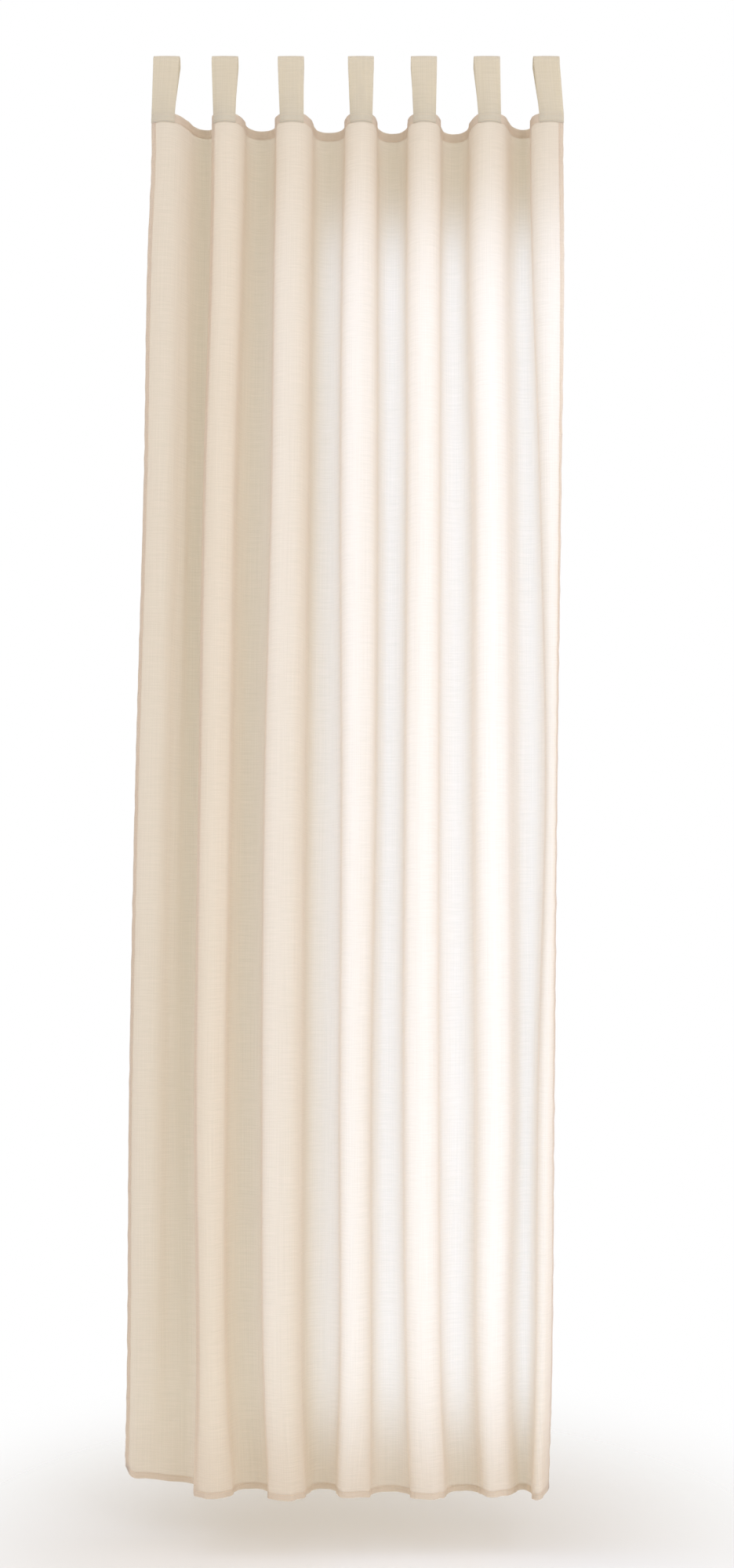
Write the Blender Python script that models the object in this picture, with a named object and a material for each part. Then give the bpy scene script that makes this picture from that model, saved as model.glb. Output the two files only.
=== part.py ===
"""Sheer voile curtain with seven tab loops, hanging in soft folds. Metres, +Z up, the room at -Y.

The origin is the middle of the line that a curtain rod takes through the tabs. The panel is one
sheet of cloth whose flat width is the same at every height. Its front folds hang under the tabs,
and the cloth between two tabs hangs back towards the wall, as deep as its width lets it.
"""

import math

import bmesh
import bpy
import numpy as np

# Driving sizes
TAB_COUNT = 7
CLOTH_WIDTH = 1.400  # flat width of the panel, from side edge to side edge
TAB_WIDTH = 0.0435
TAB_OVERLAP = 0.016  # how far a tab is sewn down over the panel's top hem
ROD_RADIUS = 0.0125  # the rod that the loops are made for
PANEL_TOP = -0.081  # the panel's top edge, below the rod's line
PANEL_LENGTH = 2.345  # top edge to bottom hem
HEM_WIDTH = 0.012  # side hems and bottom hem

CLOTH_THICKNESS = 0.0012
HEM_THICKNESS = 0.0018
TAB_THICKNESS = 0.0015  # the tab is a folded strip, two layers of cloth
GAP = 0.0003  # between a tab and the panel that it is sewn to

CORNER_LIFT = 0.018  # the bottom left corner curls up
CORNER_WIDTH = 0.026
CORNER_HEIGHT = 0.080

# Middle of each tab where it lies on the rod, in mm right of the origin.
TABS_ON_ROD = (-323, -224, -112, 7, 114, 221, 322)

# For each gap between two tabs: how far the top edge and the bottom hem drop there, in mm, and
# where the back fold's trough lies between its two lines, in percent.
GAPS = (
    ("gap_1", 2, 10, 65),
    ("gap_2", 6, 8, 50),
    ("gap_3", 9, 13, 50),
    ("gap_4", 9, 13, 50),
    ("gap_5", 10, 17, 50),
    ("gap_6", 2, 14, 68),
)

# The heights of the tables below, in m under the rod's line.
DROPS = (0.13, 0.32, 0.69, 1.22, 1.76, 2.29, 2.42)

# The lines where the cloth turns back or forward, in mm right of the origin, with the angle in
# degrees that the cloth turns there: beyond 90 the fold overhangs. "left" and "right" are the
# side edges.
FOLD_LINES = (
    ("left", 0, (-350, -356, -362, -378, -391, -399, -403)),
    ("front_1_to_back_1", 66, (-287, -289, -293, -310, -326, -338, -341)),
    ("back_1_to_front_2", 98, (-248, -250, -260, -268, -275, -272, -275)),
    ("front_2_to_back_2", 84, (-192, -196, -206, -214, -222, -218, -210)),
    ("back_2_to_front_3", 93, (-140, -142, -145, -157, -161, -156, -150)),
    ("front_3_to_back_3", 84, (-75, -78, -82, -88, -92, -91, -86)),
    ("back_3_to_front_4", 90, (-21, -25, -28, -26, -29, -30, -34)),
    ("front_4_to_back_4", 86, (35, 35, 35, 32, 24, 25, 25)),
    ("back_4_to_front_5", 90, (87, 86, 86, 82, 80, 86, 90)),
    ("front_5_to_back_5", 87, (145, 143, 141, 139, 139, 145, 151)),
    ("back_5_to_front_6", 84, (193, 191, 198, 199, 203, 205, 211)),
    ("front_6_to_back_6", 68, (263, 260, 261, 263, 267, 263, 269)),
    ("back_6_to_front_7", 102, (301, 303, 313, 322, 309, 302, 298)),
    ("right", 0, (352, 353, 348, 341, 336, 331, 328)),
)

# Where each front fold's crest lies between its two lines, in percent.
CRESTS = (
    ("front_1", (34, 33, 30, 28, 30, 33, 33)),
    ("front_2", (37, 44, 50, 50, 50, 50, 50)),
    ("front_3", (44, 48, 50, 50, 50, 50, 50)),
    ("front_4", (52, 50, 50, 50, 50, 38, 30)),
    ("front_5", (49, 50, 50, 50, 50, 50, 50)),
    ("front_6", (49, 50, 50, 50, 50, 38, 30)),
    ("front_7", (54, 52, 50, 50, 40, 25, 20)),
)

# How far each front fold's crest and each side edge stands behind the rod's line, in mm. Below
# the tabs the folds swing forward, until the cloth's weight hangs under the rod. The first one
# flattens out towards the hem, and hangs further back.
PLANES = (
    ("left", (9, 0, -2, 8, 28, 58, 70)),
    ("front_1", (0, -10, -14, -4, 14, 46, 58)),
    ("front_2", (0, -14, -31, -38, -40, -42, -42)),
    ("front_3", (0, -14, -33, -41, -46, -50, -52)),
    ("front_4", (0, -12, -29, -34, -37, -38, -38)),
    ("front_5", (0, -13, -33, -40, -43, -46, -46)),
    ("front_6", (0, -11, -27, -32, -34, -35, -35)),
    ("front_7", (0, -10, -23, -22, -30, -36, -38)),
    ("right", (7, 0, -8, -6, -8, 2, 12)),
)

# Mesh
COLUMNS_BETWEEN_TABS = 14
COLUMNS_PER_TAB = 4
ROWS_BELOW_TOP = (
    0, TAB_OVERLAP, 0.050, 0.110, 0.200, 0.340, 0.520, 0.740, 0.980, 1.230, 1.480, 1.730,
    1.960, 2.140, 2.270, PANEL_LENGTH - HEM_WIDTH, PANEL_LENGTH,
)
CURVE_STEPS = 20
ROD_STEPS = 8
TAB_LEG_STEPS = 4
MM = 0.001

TAB_SPACING = (CLOTH_WIDTH - TAB_WIDTH) / (TAB_COUNT - 1)
TAB_CENTRES = [TAB_WIDTH / 2 + i * TAB_SPACING for i in range(TAB_COUNT)]
TAB_ACROSS = np.linspace(-TAB_WIDTH / 2, TAB_WIDTH / 2, COLUMNS_PER_TAB + 1)


def at_height(values, drop):
    """A row of a table, read smoothly at a drop below the rod's line."""
    drops, values = np.array(DROPS), np.array(values, float)
    slopes = np.gradient(values, drops)
    slopes[[0, -1]] = 0
    drop = min(max(drop, drops[0]), drops[-1])
    i = min(int(np.searchsorted(drops, drop, side="right")) - 1, len(drops) - 2)
    step = drops[i + 1] - drops[i]
    t = (drop - drops[i]) / step
    return (
        (2 * t**3 - 3 * t**2 + 1) * values[i]
        + (t**3 - 2 * t**2 + t) * step * slopes[i]
        + (3 * t**2 - 2 * t**3) * values[i + 1]
        + (t**3 - t**2) * step * slopes[i + 1]
    )


def quarter_fold(angle):
    """A quarter of a fold seen from above, from its crest at (0, 0) to (1, 1), where the cloth
    turns by the angle. Its direction swings like a pendulum's, as a hanging cloth's does."""
    swing = math.radians(angle) * np.sin(np.linspace(0, math.pi / 2, 2 * CURVE_STEPS + 1)[1::2])
    steps = np.column_stack([np.cos(swing), np.sin(swing)])
    points = np.vstack([[0, 0], np.cumsum(steps, axis=0)])
    return points / points[-1]


def turn(crest, trough, line, angle):
    """The cloth from the crest of a front fold to the trough of a back fold."""
    share = (line - crest[0]) / (trough[0] - crest[0])
    middle = np.array([line, crest[1] + share * (trough[1] - crest[1])])
    quarter = quarter_fold(angle)
    first = crest + quarter * (middle - crest)
    second = trough + quarter[::-1] * (middle - trough)
    return np.vstack([first, second[1:]])


def edge_turn(edge, crest):
    """The cloth from a side edge to the crest of the fold beside it."""
    t = np.linspace(0, 1, CURVE_STEPS)[:, None]
    handle = np.array([(edge[0] + crest[0]) / 2, crest[1]])
    return (1 - t) ** 2 * edge + 2 * t * (1 - t) * handle + t**2 * crest


def length_of(points):
    return float(np.linalg.norm(np.diff(points, axis=0), axis=1).sum())


def fitted(curve_of_depth, cloth):
    """The curve whose length is the cloth's, found by halving the range of its depth."""
    shallow, deep = 0.0, 0.25
    for _ in range(30):
        middle = (shallow + deep) / 2
        if length_of(curve_of_depth(middle)) < cloth:
            shallow = middle
        else:
            deep = middle
    return curve_of_depth(shallow)


def spaced(points, marks):
    """Points along a curve, as far apart as the marks, which run over its whole length."""
    along = np.concatenate([[0], np.cumsum(np.linalg.norm(np.diff(points, axis=0), axis=1))])
    marks = (marks - marks[0]) / (marks[-1] - marks[0]) * along[-1]
    return np.stack([np.interp(marks, along, points[:, k]) for k in range(2)], axis=1)


def columns():
    """The warp lines that become columns of the mesh, as places across the flat panel."""
    marks = list(TAB_CENTRES[0] + TAB_ACROSS)
    for centre in TAB_CENTRES[1:]:
        between = np.linspace(marks[-1], centre - TAB_WIDTH / 2, COLUMNS_BETWEEN_TABS + 1)
        marks += list(between[1:-1]) + list(centre + TAB_ACROSS)
    return np.array(marks)


def profile(drop):
    """The panel seen from above at one height: an (x, y) point for each column."""
    lines = [at_height(values, drop) * MM for _, _, values in FOLD_LINES]
    angles = [angle for _, angle, _ in FOLD_LINES]
    places = [at_height(values, drop) / 100 for _, values in CRESTS]
    planes = [at_height(values, drop) * MM for _, values in PLANES]
    crests = [
        np.array([lines[2 * i] * (1 - place) + lines[2 * i + 1] * place, planes[i + 1]])
        for i, place in enumerate(places)
    ]
    left_edge = edge_turn(np.array([lines[0], planes[0]]), crests[0])
    right_edge = edge_turn(np.array([lines[-1], planes[-1]]), crests[-1])[::-1]

    marks = columns()
    out = []
    for i in range(TAB_COUNT - 1):
        a, b = crests[i], crests[i + 1]
        back, forward = 2 * i + 1, 2 * i + 2
        trough_place = GAPS[i][3] / 100
        first, last = i == 0, i == TAB_COUNT - 2
        start = 0 if first else TAB_CENTRES[i]
        end = CLOTH_WIDTH if last else TAB_CENTRES[i + 1]

        def curve(depth):
            x = lines[back] + trough_place * (lines[forward] - lines[back])
            trough = np.array([x, (a[1] + b[1]) / 2 + depth])
            away = turn(a, trough, lines[back], angles[back])
            towards = turn(b, trough, lines[forward], angles[forward])[::-1]
            parts = [away, towards[1:]]
            if first:
                parts.insert(0, left_edge[:-1])
            if last:
                parts.append(right_edge[1:])
            return np.vstack(parts)

        inside = marks[(marks >= start - 1e-9) & (marks <= end + 1e-9)]
        points = spaced(fitted(curve, end - start), inside)
        out.append(points if last else points[:-1])
    return np.vstack(out)


def sag(mark, below_top):
    """How far the cloth hangs lower than under the tabs: most halfway between two of them."""
    gap, past_tab = divmod(mark - TAB_WIDTH, TAB_SPACING)
    free = TAB_SPACING - TAB_WIDTH
    if mark < TAB_WIDTH or past_tab > free:
        return 0.0
    _, top_drop, hem_drop, _ = GAPS[int(gap)]
    drop = top_drop + (hem_drop - top_drop) * below_top / PANEL_LENGTH
    return drop * MM * math.sin(math.pi * past_tab / free)


def corner_lift(mark, below_top):
    """How far the cloth is lifted near the bottom left corner."""
    across = max(0.0, 1 - mark / CORNER_WIDTH)
    down = max(0.0, 1 - (PANEL_LENGTH - below_top) / CORNER_HEIGHT)
    return CORNER_LIFT * across**2 * down**2


def panel_grid():
    """The panel's middle surface: rows from the top edge to the hem, columns left to right."""
    marks = columns()
    rows = []
    for below_top in ROWS_BELOW_TOP:
        xy = profile(below_top - PANEL_TOP)
        z = [PANEL_TOP - below_top - sag(m, below_top) + corner_lift(m, below_top) for m in marks]
        rows.append(np.column_stack([xy, z]))
    return np.array(rows)


def towards_room(row):
    """For each point of a row, the level step that moves the faces beside it by 1."""
    ahead = np.diff(row[:, :2], axis=0)
    ahead /= np.linalg.norm(ahead, axis=1)[:, None]
    normals = np.column_stack([ahead[:, 1], -ahead[:, 0]])
    before = np.vstack([normals[:1], normals])
    after = np.vstack([normals, normals[-1:]])
    middle = before + after
    middle /= np.linalg.norm(middle, axis=1)[:, None]
    mitre = (middle * before).sum(1)
    return np.column_stack([middle / mitre[:, None], np.zeros(len(row))])


def cloth_object(name, grid, thickness, material, plain=()):
    """A sheet from a grid of points on its middle surface, thickened by Solidify. The points in
    plain are CLOTH_THICKNESS thick."""
    mesh = bpy.data.meshes.new(name)
    bm = bmesh.new()
    verts = [[bm.verts.new(p) for p in row] for row in grid]
    for upper, lower in zip(verts, verts[1:]):
        for i in range(len(upper) - 1):
            bm.faces.new((upper[i], lower[i], lower[i + 1], upper[i + 1]))
    bm.to_mesh(mesh)
    bm.free()
    mesh.materials.append(material)
    mesh.shade_smooth()

    obj = bpy.data.objects.new(name, mesh)
    bpy.context.scene.collection.objects.link(obj)
    solidify = obj.modifiers.new("thickness", "SOLIDIFY")
    solidify.thickness = thickness
    solidify.offset = 0
    solidify.use_even_offset = True
    if plain:
        group = obj.vertex_groups.new(name="hem")
        group.add(list(range(len(mesh.vertices))), 1.0, "REPLACE")
        group.add(plain, CLOTH_THICKNESS / thickness, "REPLACE")
        solidify.vertex_group = group.name
    return obj


def build_panel(grid, material):
    """The one sheet of voile, with its top, side and bottom hems."""
    rows, cols = grid.shape[:2]
    plain = [r * cols + c for r in range(2, rows - 2) for c in range(2, cols - 2)]
    return cloth_object("panel", grid, HEM_THICKNESS, material, plain)


def leaves_rod_at(y, z, radius):
    """The angle round the rod, from its top, where a strip that hangs to (y, z) leaves it."""
    return math.atan2(abs(y), z) - math.acos(radius / math.hypot(y, z))


def build_tab(number, grid, material):
    """One loop: a strip sewn to the panel's front, taken over the rod and sewn to its back."""
    centre = TAB_CENTRES[number - 1]
    first = int(np.argmin(abs(columns() - (centre - TAB_WIDTH / 2))))
    under = slice(first, first + COLUMNS_PER_TAB + 1)
    clear = HEM_THICKNESS / 2 + GAP + TAB_THICKNESS / 2
    radius = ROD_RADIUS + TAB_THICKNESS / 2
    shares = np.linspace(0, 1, TAB_LEG_STEPS + 1)[1:]
    legs, angles = [], []
    for side in (1, -1):
        sewn = [(row + side * clear * towards_room(row))[under] for row in (grid[1], grid[0])]
        top = sewn[-1]
        _, y, z = top[COLUMNS_PER_TAB // 2]
        angle = -side * leaves_rod_at(y, z, radius)
        on_rod = rod_row(number, angle, radius)
        legs.append(sewn + [top + s * (on_rod - top) for s in shares])
        angles.append(angle)
    over = [rod_row(number, a, radius) for a in np.linspace(*angles, ROD_STEPS + 1)[1:-1]]
    strip = legs[0] + over + legs[1][::-1]
    return cloth_object(f"tab_{number}", np.array(strip[::-1]), TAB_THICKNESS, material)


def rod_row(number, angle, radius):
    """A row of a tab across the rod, at an angle round it from its top towards the wall."""
    y, z = radius * math.sin(angle), radius * math.cos(angle)
    return np.array([[TABS_ON_ROD[number - 1] * MM + a, y, z] for a in TAB_ACROSS])


def voile(name, colour, alpha):
    material = bpy.data.materials.new(name)
    material.use_nodes = True
    shader = material.node_tree.nodes["Principled BSDF"]
    shader.inputs["Base Color"].default_value = (*colour, 1)
    shader.inputs["Roughness"].default_value = 0.9
    shader.inputs["Metallic"].default_value = 0
    shader.inputs["Alpha"].default_value = alpha
    return material


def main():
    for obj in list(bpy.data.objects):
        bpy.data.objects.remove(obj)
    sheer = voile("sheer_voile", (0.76, 0.68, 0.55), 0.7)
    doubled = voile("doubled_voile", (0.72, 0.63, 0.48), 0.95)
    grid = panel_grid()
    build_panel(grid, sheer)
    for number in range(1, TAB_COUNT + 1):
        build_tab(number, grid, doubled)


main()
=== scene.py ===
# %% [markdown]
# # A sheer voile curtain with tab loops
#
# A voile curtain is one wide sheet of thin, plain-woven cloth. Its edges are turned in twice and
# sewn down, and seven loops of the same cloth, folded double, carry it on a rod. Hung up, it has
# half its flat width, and the rest goes into deep, soft folds.
#
# This file builds what the eye sees round the curtain's plain solids: the sheet with its turned
# hems, the loops, the lines of stitches, and a finish that lets light through. Each step says what
# the piece is, how it could be made, and why it was made this way.

# %% Load the frame
import math

import bmesh
import bpy
import numpy as np
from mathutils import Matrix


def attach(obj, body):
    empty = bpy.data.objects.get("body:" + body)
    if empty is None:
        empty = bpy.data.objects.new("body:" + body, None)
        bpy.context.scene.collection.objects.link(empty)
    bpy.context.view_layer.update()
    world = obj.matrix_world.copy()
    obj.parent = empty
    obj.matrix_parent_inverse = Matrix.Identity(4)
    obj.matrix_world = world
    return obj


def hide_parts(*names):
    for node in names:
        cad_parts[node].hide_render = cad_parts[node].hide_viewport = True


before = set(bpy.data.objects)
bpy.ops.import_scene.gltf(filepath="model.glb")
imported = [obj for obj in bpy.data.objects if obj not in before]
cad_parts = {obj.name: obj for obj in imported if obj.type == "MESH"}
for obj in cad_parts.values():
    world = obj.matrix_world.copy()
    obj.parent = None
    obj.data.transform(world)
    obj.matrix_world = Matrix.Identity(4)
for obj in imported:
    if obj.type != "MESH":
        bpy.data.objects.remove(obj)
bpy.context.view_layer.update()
MM = 0.001

# %% [markdown]
# ## The sizes of the cloth
#
# The origin is the middle of the line that a rod takes through the loops. X runs to the right, Z
# up, and the room is at -Y. A place on the flat cloth has two sizes: how far it is from the left
# edge, here called across, and how far below the top edge, here called down.

# %% Name the driving sizes, in metres
TAB_COUNT = 7
CLOTH_WIDTH = 1.400
TAB_WIDTH = 0.0435
TAB_OVERLAP = 0.016
ROD_RADIUS = 0.0125
PANEL_TOP = -0.081
PANEL_LENGTH = 2.345
TAB_SPACING = (CLOTH_WIDTH - TAB_WIDTH) / (TAB_COUNT - 1)
TAB_CENTRES = [TAB_WIDTH / 2 + i * TAB_SPACING for i in range(TAB_COUNT)]
TABS_ON_ROD = (-323, -224, -112, 7, 114, 221, 322)  # mm
print("one loop for every", round(TAB_SPACING / MM), "mm of cloth")

# %% [markdown]
# ## How the folds hang
#
# Seen from above, the cloth swings forward under each loop and back between two loops. Two lines
# bound each front fold: where the cloth turns back, and where it comes forward again. They are
# read from the photograph at seven heights. The depth of a fold isn't read from anything: it is
# found from the cloth, which has the same width at every height, so a fold that is narrow in
# front has to be deep.
#
# A table of folds is easier to change than a sculpted mesh, and it keeps the cloth's width true.

# %% The fold tables
DROPS = (0.13, 0.32, 0.69, 1.22, 1.76, 2.29, 2.42)  # m below the rod's line

# Each gap between two loops: how far the top edge and the hem drop there, in mm, and where the
# back fold's trough lies between its two lines, in percent.
GAPS = (
    ("gap_1", 2, 10, 65),
    ("gap_2", 6, 8, 50),
    ("gap_3", 9, 13, 50),
    ("gap_4", 9, 13, 50),
    ("gap_5", 10, 17, 50),
    ("gap_6", 2, 14, 68),
)

# The lines where the cloth turns, in mm right of the origin, and the angle it turns there.
FOLD_LINES = (
    ("left", 0, (-350, -356, -362, -378, -391, -399, -403)),
    ("front_1_to_back_1", 66, (-287, -289, -293, -310, -326, -338, -341)),
    ("back_1_to_front_2", 98, (-248, -250, -260, -268, -275, -272, -275)),
    ("front_2_to_back_2", 84, (-192, -196, -206, -214, -222, -218, -210)),
    ("back_2_to_front_3", 93, (-140, -142, -145, -157, -161, -156, -150)),
    ("front_3_to_back_3", 84, (-75, -78, -82, -88, -92, -91, -86)),
    ("back_3_to_front_4", 90, (-21, -25, -28, -26, -29, -30, -34)),
    ("front_4_to_back_4", 86, (35, 35, 35, 32, 24, 25, 25)),
    ("back_4_to_front_5", 90, (87, 86, 86, 82, 80, 86, 90)),
    ("front_5_to_back_5", 87, (145, 143, 141, 139, 139, 145, 151)),
    ("back_5_to_front_6", 84, (193, 191, 198, 199, 203, 205, 211)),
    ("front_6_to_back_6", 68, (263, 260, 261, 263, 267, 263, 269)),
    ("back_6_to_front_7", 102, (301, 303, 313, 322, 309, 302, 298)),
    ("right", 0, (352, 353, 348, 341, 336, 331, 328)),
)

# Where each front fold's crest lies between its two lines, in percent.
CRESTS = (
    ("front_1", (34, 33, 30, 28, 30, 33, 33)),
    ("front_2", (37, 44, 50, 50, 50, 50, 50)),
    ("front_3", (44, 48, 50, 50, 50, 50, 50)),
    ("front_4", (52, 50, 50, 50, 50, 38, 30)),
    ("front_5", (49, 50, 50, 50, 50, 50, 50)),
    ("front_6", (49, 50, 50, 50, 50, 38, 30)),
    ("front_7", (54, 52, 50, 50, 40, 25, 20)),
)

# How far each crest and each side edge stands behind the rod's line, in mm.
PLANES = (
    ("left", (9, 0, -2, 8, 28, 58, 70)),
    ("front_1", (0, -10, -14, -4, 14, 46, 58)),
    ("front_2", (0, -14, -31, -38, -40, -42, -42)),
    ("front_3", (0, -14, -33, -41, -46, -50, -52)),
    ("front_4", (0, -12, -29, -34, -37, -38, -38)),
    ("front_5", (0, -13, -33, -40, -43, -46, -46)),
    ("front_6", (0, -11, -27, -32, -34, -35, -35)),
    ("front_7", (0, -10, -23, -22, -30, -36, -38)),
    ("right", (7, 0, -8, -6, -8, 2, 12)),
)
print(len(GAPS), "back folds between", TAB_COUNT, "front folds")


# %% Read a table smoothly at any height
def at_height(values, drop):
    drops, values = np.array(DROPS), np.array(values, float)
    slopes = np.gradient(values, drops)
    slopes[[0, -1]] = 0
    drop = min(max(drop, drops[0]), drops[-1])
    i = min(int(np.searchsorted(drops, drop, side="right")) - 1, len(drops) - 2)
    step = drops[i + 1] - drops[i]
    t = (drop - drops[i]) / step
    return (
        (2 * t**3 - 3 * t**2 + 1) * values[i]
        + (t**3 - 2 * t**2 + t) * step * slopes[i]
        + (3 * t**2 - 2 * t**3) * values[i + 1]
        + (t**3 - t**2) * step * slopes[i + 1]
    )


print("the left edge at 1 m:", round(at_height(FOLD_LINES[0][2], 1.0)), "mm")

# %% [markdown]
# ## One fold as a curve
#
# A hanging cloth's direction, followed along its width, swings like a pendulum. That gives round
# crests and troughs and straight flanks, which stand square to the rod or even overhang. A sine
# wave or a plain spline can't do that: its flanks lean, and the folds look like corrugated iron.
# The curve is kept for each quarter of a fold, from a crest to a turning line.

# %% Make the fold's curve
CURVE_STEPS = 20
DEEPEST_FOLD = 0.25
HALVINGS = 24  # each one halves what is left to find of a fold's depth


def quarter_fold(angle):
    swing = math.radians(angle) * np.sin(np.linspace(0, math.pi / 2, 2 * CURVE_STEPS + 1)[1::2])
    steps = np.column_stack([np.cos(swing), np.sin(swing)])
    points = np.vstack([[0, 0], np.cumsum(steps, axis=0)])
    return points / points[-1]


def turn(crest, trough, line, angle):
    share = (line - crest[0]) / (trough[0] - crest[0])
    middle = np.array([line, crest[1] + share * (trough[1] - crest[1])])
    quarter = quarter_fold(angle)
    first = crest + quarter * (middle - crest)
    second = trough + quarter[::-1] * (middle - trough)
    return np.vstack([first, second[1:]])


def edge_turn(edge, crest):
    t = np.linspace(0, 1, CURVE_STEPS)[:, None]
    handle = np.array([(edge[0] + crest[0]) / 2, crest[1]])
    return (1 - t) ** 2 * edge + 2 * t * (1 - t) * handle + t**2 * crest


def length_of(points):
    return float(np.linalg.norm(np.diff(points, axis=0), axis=1).sum())


def fitted(curve_of_depth, cloth):
    """The curve at the depth that takes up a given length of cloth."""
    shallow, deep = 0.0, DEEPEST_FOLD
    for _ in range(HALVINGS):
        middle = (shallow + deep) / 2
        if length_of(curve_of_depth(middle)) < cloth:
            shallow = middle
        else:
            deep = middle
    return curve_of_depth(shallow)


print("a quarter of a fold has", len(quarter_fold(90)), "points")


# %% The whole cloth, seen from above at one height
def profile(drop):
    """Marks across the cloth, and the (x, y) point at each of them."""
    lines = [at_height(values, drop) * MM for _, _, values in FOLD_LINES]
    angles = [angle for _, angle, _ in FOLD_LINES]
    places = [at_height(values, drop) / 100 for _, values in CRESTS]
    planes = [at_height(values, drop) * MM for _, values in PLANES]
    crests = [
        np.array([lines[2 * i] * (1 - place) + lines[2 * i + 1] * place, planes[i + 1]])
        for i, place in enumerate(places)
    ]
    left_edge = edge_turn(np.array([lines[0], planes[0]]), crests[0])
    right_edge = edge_turn(np.array([lines[-1], planes[-1]]), crests[-1])[::-1]

    marks, points = [], []
    for i in range(TAB_COUNT - 1):
        a, b = crests[i], crests[i + 1]
        back, forward = 2 * i + 1, 2 * i + 2
        first, last = i == 0, i == TAB_COUNT - 2
        start = 0 if first else TAB_CENTRES[i]
        end = CLOTH_WIDTH if last else TAB_CENTRES[i + 1]
        trough_x = lines[back] + GAPS[i][3] / 100 * (lines[forward] - lines[back])

        def curve(depth):
            trough = np.array([trough_x, (a[1] + b[1]) / 2 + depth])
            away = turn(a, trough, lines[back], angles[back])
            towards = turn(b, trough, lines[forward], angles[forward])[::-1]
            parts = [away, towards[1:]]
            if first:
                parts.insert(0, left_edge[:-1])
            if last:
                parts.append(right_edge[1:])
            return np.vstack(parts)

        shape = fitted(curve, end - start)
        along = np.concatenate([[0], np.cumsum(np.linalg.norm(np.diff(shape, axis=0), axis=1))])
        keep = slice(None) if last else slice(0, -1)
        marks.append((start + along / along[-1] * (end - start))[keep])
        points.append(shape[keep])
    return np.concatenate(marks), np.vstack(points)


_, top_points = profile(-PANEL_TOP)
print("the folds are", round(float(np.ptp(top_points[:, 1])) / MM), "mm deep at the top")

# %% [markdown]
# ## What makes it look like cloth
#
# Smooth folds alone look like sheet metal. A real voile keeps soft ridges where it was folded in
# its packet or pulled by a loop, and its hems pucker where the thread draws them in. A cloth
# simulation could find such ridges, but not these ones, so they are listed one by one: each row of
# the table is one soft ridge, or a trough where its height is less than nothing.

# %% The soft ridges
# Place across at its upper and its lower end, half width and height in mm, then where it starts
# and ends, in m below the top edge.
RIDGES = (
    ("front_1_left", 42, 50, 14, 3.2, 0.06, 2.30),
    ("front_1_middle", 74, 80, 9, -1.8, 0.10, 2.20),
    ("front_1_right", 96, 104, 9, 2.4, 0.25, 2.34),
    ("front_2_left", 228, 236, 7, 1.3, 0.30, 1.90),
    ("front_2_right", 262, 268, 9, -2.6, 0.12, 2.34),
    ("front_3_middle", 468, 476, 9, -2.2, 0.20, 2.10),
    ("front_3_right", 486, 494, 8, 1.8, 0.35, 2.34),
    ("front_3_low", 458, 470, 9, -1.5, 1.30, 2.34),
    ("front_4_left", 682, 690, 8, 1.3, 0.40, 2.34),
    ("front_4_right", 716, 710, 8, -2.3, 0.08, 1.70),
    ("front_5_left", 906, 914, 8, -2.0, 0.10, 2.10),
    ("front_5_right", 938, 932, 8, 1.4, 0.60, 2.34),
    ("front_6_left", 1122, 1128, 8, 1.5, 0.10, 1.50),
    ("front_6_right", 1172, 1160, 10, -2.4, 0.30, 2.34),
    ("front_7_left", 1350, 1344, 7, 1.3, 0.20, 2.20),
    ("back_1", 160, 152, 9, 1.5, 0.15, 2.34),
    ("back_2", 352, 346, 8, -2.0, 0.10, 2.20),
    ("back_3", 582, 590, 8, 1.4, 0.20, 2.34),
    ("back_4", 806, 800, 8, -2.0, 0.15, 2.34),
    ("back_5", 1030, 1022, 8, 1.4, 0.30, 2.20),
    ("back_6", 1252, 1262, 9, -1.5, 0.12, 2.34),
)


RIDGE_FADE = 0.7  # below 1, a ridge keeps its height nearly to its ends


def ridges(across, down):
    """How far the cloth stands towards the room at each place, in m."""
    height = np.zeros(np.broadcast(across, down).shape)
    for _, upper, lower, width, rise, start, end in RIDGES:
        along = np.clip((down - start) / (end - start), 0, 1)
        middle = (upper + (lower - upper) * along) * MM
        fade = np.sin(math.pi * along) ** RIDGE_FADE
        height += rise * MM * fade * np.exp(-(((across - middle) / (width * MM)) ** 2))
    return height


# The hems' puckers: their length along the hem in mm, height in mm, and reach from it in m.
PUCKERS = (("wide", 47, 0.9, 0.060), ("middle", 29, 0.6, 0.035), ("narrow", 17, 0.35, 0.020))
WANDER = 0.35  # how far puckers stray from even places, as a share of their length
WANDER_TURN = 9.0  # radians of that straying for each metre of hem
LIGHT_PULL = 0.5  # the top and side hems pucker half as much as the bottom one


def puckers(along, from_hem, shift):
    height = np.zeros(np.broadcast(along, from_hem).shape)
    for i, (_, length, rise, reach) in enumerate(PUCKERS):
        wander = WANDER * np.sin(along * WANDER_TURN + shift + i)
        wave = np.sin(2 * math.pi * (along / (length * MM) + wander) + shift * (i + 1))
        height += rise * MM * wave * np.exp(-np.maximum(from_hem, 0) / reach)
    return height


def relief(across, down):
    """Ridges and puckers together, with another shift for each hem."""
    height = ridges(across, down)
    height += puckers(across, PANEL_LENGTH - down, 1.3)
    height += LIGHT_PULL * puckers(across, down, 4.1)
    height += LIGHT_PULL * puckers(down, across, 2.2)
    height += LIGHT_PULL * puckers(down, CLOTH_WIDTH - across, 5.7)
    return height


print(len(RIDGES), "ridges and", len(PUCKERS), "sizes of pucker")

# %% [markdown]
# ## Any place on the hanging cloth
#
# Hems, loops and stitches all lie on the same cloth, so they all ask one function where it is:
# it takes a row of places across the cloth and one place down it, and returns the points there
# and the level directions that face the room.

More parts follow.
